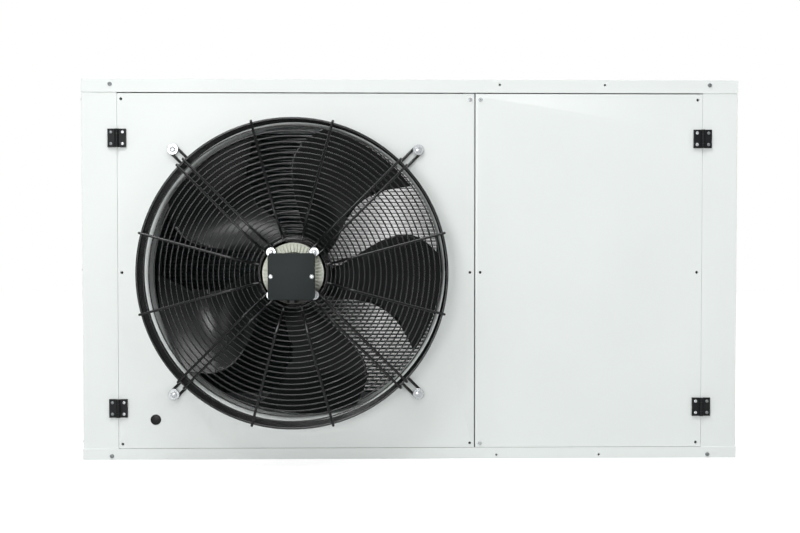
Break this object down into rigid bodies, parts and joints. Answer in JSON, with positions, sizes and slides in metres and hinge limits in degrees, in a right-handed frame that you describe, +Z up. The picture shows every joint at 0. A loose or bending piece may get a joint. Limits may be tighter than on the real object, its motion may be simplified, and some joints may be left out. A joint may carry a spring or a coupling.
{
  "type": "refrigeration condensing unit",
  "caption": "Outdoor condensing unit: sheet metal housing with a guarded axial fan on a hinged door and a hinged service door beside it.",
  "frame": {"origin": "on the floor, at the centre of the four anchor holes in the base", "axes": "+Z up, the fan and the doors face -Y, +X to the right seen from the front"},
  "size_m": [1.431, 0.955, 0.825],
  "materials": {
    "panel_paint": "fine grained powder coat, pale grey",
    "galvanised_sheet": "dull zinc coated sheet",
    "seal_foam": "closed cell foam",
    "hinge_black": "moulded, slightly grained",
    "zinc_plating": "bright zinc plating",
    "dull_zinc": "dull zinc plating",
    "plug_plastic": "satin moulded",
    "guard_coating": "glossy black wire coating",
    "cast_aluminium": "as cast",
    "winding_copper": "varnished windings",
    "bearing_steel": "ground",
    "rotor_paint": "satin black",
    "terminal_plastic": "moulded",
    "coil_aluminium": "brazed, slightly dulled",
    "compressor_paint": "thick gloss paint",
    "foot_rubber": "moulded",
    "cover_plastic": "moulded",
    "receiver_paint": "satin paint",
    "drier_paint": "gloss paint",
    "copper_pipe": "drawn copper, slightly tarnished",
    "valve_brass": "machined",
    "button_plastic": "moulded, green"
  },
  "bodies": {
    "housing": {"base_pan": "panel_paint", "top_cover": "panel_paint", "front_left_post": "panel_paint", "front_right_post": "panel_paint", "back_left_post": "galvanised_sheet", "back_right_post": "galvanised_sheet", "centre_post": "galvanised_sheet", "back_centre_post": "galvanised_sheet", "partition": "galvanised_sheet", "left_side_panel": "panel_paint", "right_side_panel": "panel_paint", "back_panel": "panel_paint", "post_hinge_leaves": "hinge_black", "post_hinge_screws": "dull_zinc", "hinge_pins": "zinc_plating", "casing_screws": "dull_zinc", "condenser_core": "coil_aluminium", "condenser_headers": "coil_aluminium", "coil_brackets": "galvanised_sheet", "compressor_shell": "compressor_paint", "compressor_feet": "foot_rubber", "compressor_terminal_cover": "cover_plastic", "liquid_receiver": "receiver_paint", "suction_pipe": "copper_pipe", "discharge_pipe": "copper_pipe", "condensate_pipe": "copper_pipe", "liquid_pipe": "copper_pipe", "filter_drier": "drier_paint", "service_valves": "valve_brass", "electrical_box": "galvanised_sheet", "electrical_box_lid": "galvanised_sheet", "contactors": "cover_plastic", "pressure_switch": "cover_plastic"},
    "fan_door": {"fan_door": "panel_paint", "fan_door_gasket": "seal_foam", "fan_door_hinge_leaves": "hinge_black", "fan_door_hinge_screws": "zinc_plating", "fan_door_screw": "zinc_plating", "hole_plug": "plug_plastic", "guard_grille": "guard_coating", "guard_legs": "guard_coating", "guard_washers": "zinc_plating", "guard_bolts": "zinc_plating", "motor_stator": "cast_aluminium", "motor_windings": "winding_copper", "motor_bearings": "bearing_steel", "terminal_box": "terminal_plastic", "terminal_box_lid": "terminal_plastic", "terminal_box_screws": "zinc_plating", "motor_gland": "plug_plastic", "motor_screws": "zinc_plating"},
    "fan_rotor": {"motor_rotor": "rotor_paint", "motor_shaft": "bearing_steel", "impeller": "rotor_paint"},
    "service_door": {"service_door": "panel_paint", "service_door_gasket": "seal_foam", "service_door_hinge_leaves": "hinge_black", "service_door_hinge_screws": "zinc_plating", "service_door_screws": "zinc_plating"},
    "reset_button": {"reset_button": "button_plastic"}
  },
  "joints": [
    {"name": "fan_door_hinge", "type": "hinge", "parent": "housing", "child": "fan_door", "pos_m": [-0.635, -0.3935, 0.4], "axis": [0, 0, -1], "range_deg": [0, 105]},
    {"name": "fan_spin", "type": "hinge", "parent": "fan_door", "child": "fan_rotor", "pos_m": [-0.2495, -0.3885, 0.408], "axis": [0, -1, 0], "continuous": true},
    {"name": "service_door_hinge", "type": "hinge", "parent": "housing", "child": "service_door", "pos_m": [0.635, -0.3935, 0.4], "axis": [0, 0, 1], "range_deg": [0, 135]},
    {"name": "reset_button_press", "type": "slide", "parent": "housing", "child": "reset_button", "axis": [0, 0, -1], "range_m": [0, 0.003], "stiffness_N_per_m": 600, "springref_m": -0.001}
  ]
}
